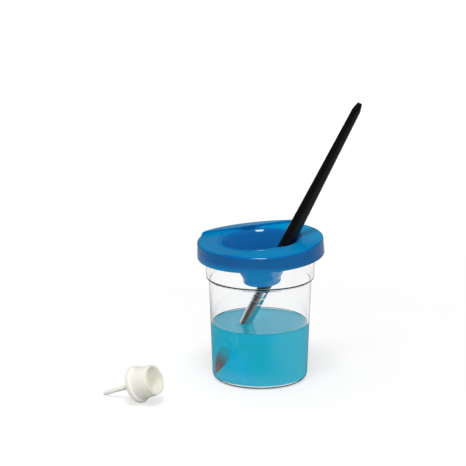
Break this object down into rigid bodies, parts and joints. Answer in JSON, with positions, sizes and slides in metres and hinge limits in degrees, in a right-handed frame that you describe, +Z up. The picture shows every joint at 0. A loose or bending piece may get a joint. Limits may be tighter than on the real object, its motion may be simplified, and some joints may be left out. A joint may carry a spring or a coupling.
{
  "type": "brush washer with lid",
  "caption": "Clear cup of rinsing water with a press-on blue lid; the lid's middle is a funnel that a round paint brush stands in, and a loose stopper lies beside it.",
  "frame": {"origin": "centre of the cup's base, on the surface that the cup stands on", "axes": "+Z up along the cup's axis; -Y is the front; +X is the side towards which the brush leans"},
  "size_m": [0.1605, 0.1046, 0.1758],
  "materials": {
    "cup": "clear injection-moulded polystyrene, polished",
    "lid": "glossy injection-moulded polypropylene, blue",
    "stopper": "satin soft plastic, off-white",
    "water": "still water clouded by turquoise paint",
    "brush_handle": "turned wood, many coats of gloss black lacquer",
    "brush_ferrule": "nickel-plated brass tube, bright",
    "brush_hair": "wet reddish-brown hair",
    "hair_resin_plug": "cured resin"
  },
  "bodies": {
    "cup": {"cup": "cup", "water": "water"},
    "lid": {"lid": "lid"},
    "brush": {"brush_handle": "brush_handle", "brush_ferrule": "brush_ferrule", "brush_hair": "brush_hair", "hair_resin_plug": "hair_resin_plug"},
    "stopper": {"stopper": "stopper"}
  },
  "joints": [
    {"name": "lid_lift", "type": "slide", "parent": "cup", "child": "lid", "axis": [0, 0, 1], "range_m": [0, 0.12]},
    {"name": "brush_pull", "type": "slide", "parent": "lid", "child": "brush", "axis": [0.4541, 0.0719, 0.888], "range_m": [0, 0.11], "deforming": ["water"]},
    {"name": "stopper_lift", "type": "slide", "parent": "cup", "child": "stopper", "axis": [0, 0, 1], "range_m": [0, 0.06]}
  ]
}
